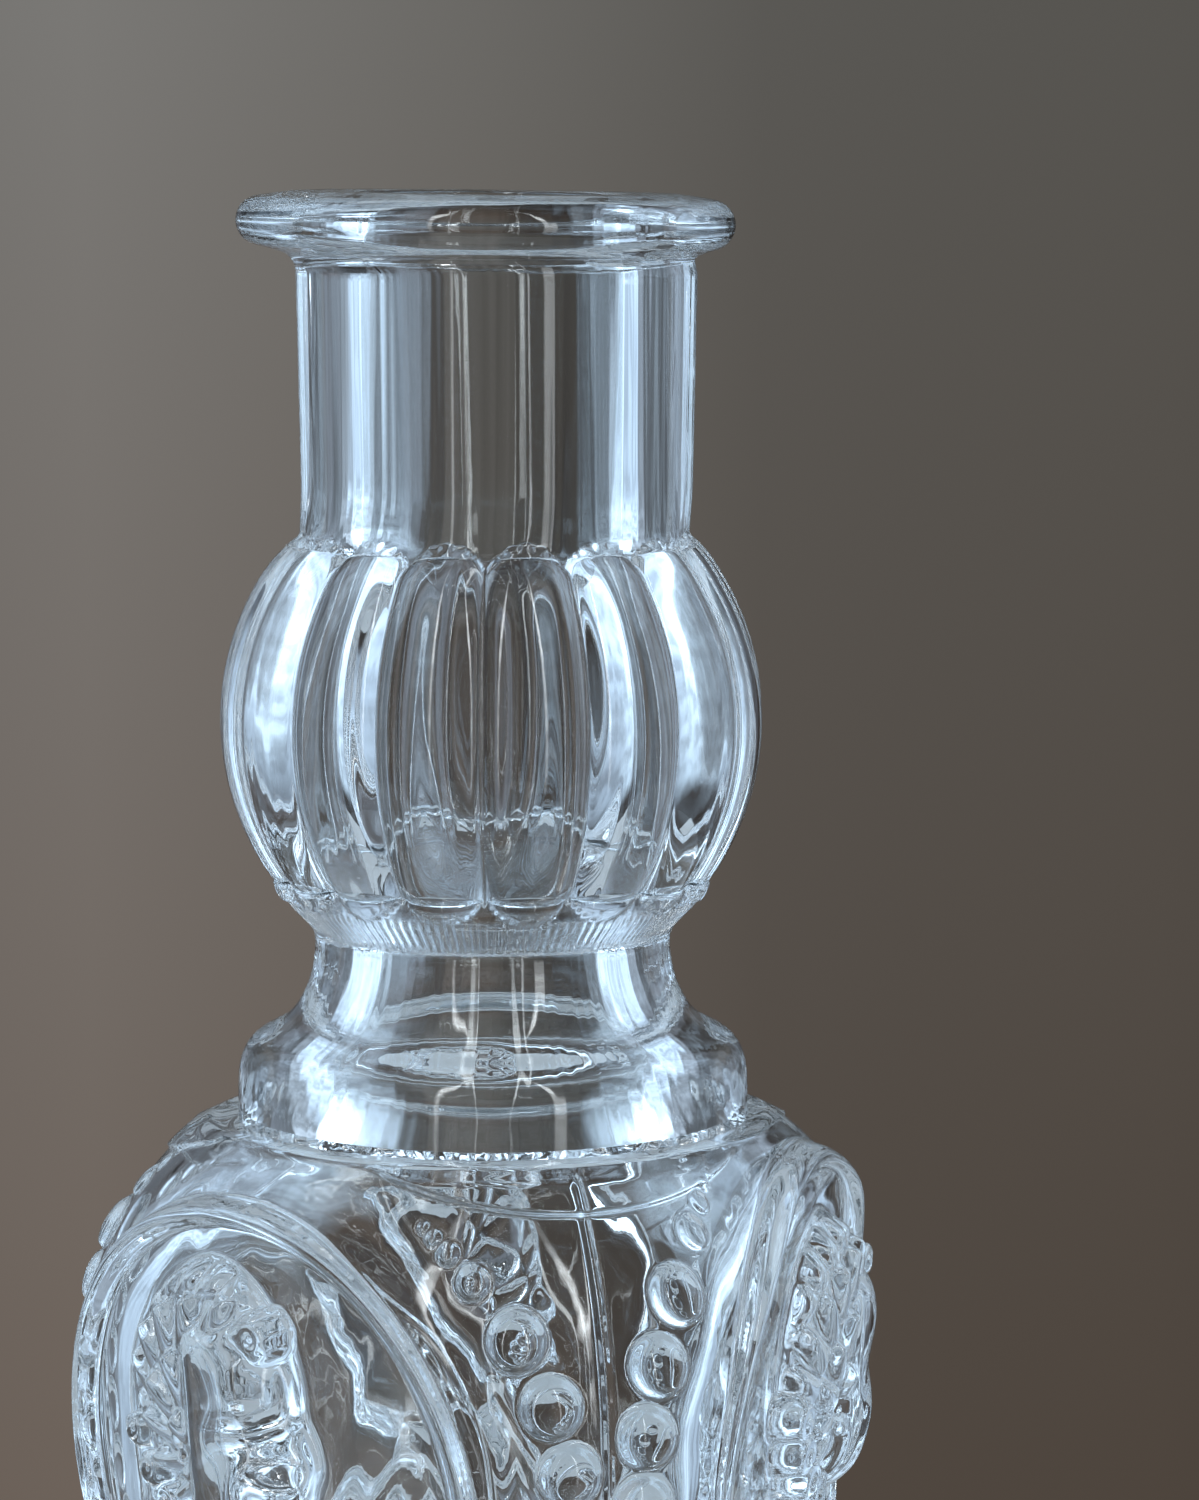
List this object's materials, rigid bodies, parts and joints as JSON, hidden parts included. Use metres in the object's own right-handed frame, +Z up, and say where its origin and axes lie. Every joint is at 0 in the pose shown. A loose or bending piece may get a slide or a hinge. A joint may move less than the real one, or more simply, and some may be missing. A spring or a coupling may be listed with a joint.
{
  "type": "antique glass bottle",
  "caption": "Clear moulded glass bottle with a flat lip, straight corked neck, ribbed knop, narrow waist and a round body with framed portrait medallions and bead chains.",
  "frame": {"origin": "centre of the flat base that the bottle stands on", "axes": "+Z up along the bottle's axis, out of the mouth; -Y towards the viewer of the picture"},
  "size_m": [0.0617, 0.0631, 0.156],
  "materials": {
    "glass": "clear, fire-polished, slightly wavy, with fine seeds and scratches"
  },
  "bodies": {
    "root": {"base": "glass", "shoulder_collar": "glass", "waist": "glass", "knop_ring": "glass", "melon_knop": "glass", "neck": "glass", "lip_ring": "glass", "body_panel_a": "glass", "body_panel_b": "glass", "body_panel_c": "glass", "medallion_frame_a": "glass", "medallion_frame_b": "glass", "medallion_frame_c": "glass", "portrait_relief_a": "glass", "portrait_relief_b": "glass", "portrait_relief_c": "glass", "bead_chain_a_left": "glass", "bead_chain_a_right": "glass", "bead_chain_b_left": "glass", "bead_chain_b_right": "glass", "bead_chain_c_left": "glass", "bead_chain_c_right": "glass"}
  },
  "joints": []
}
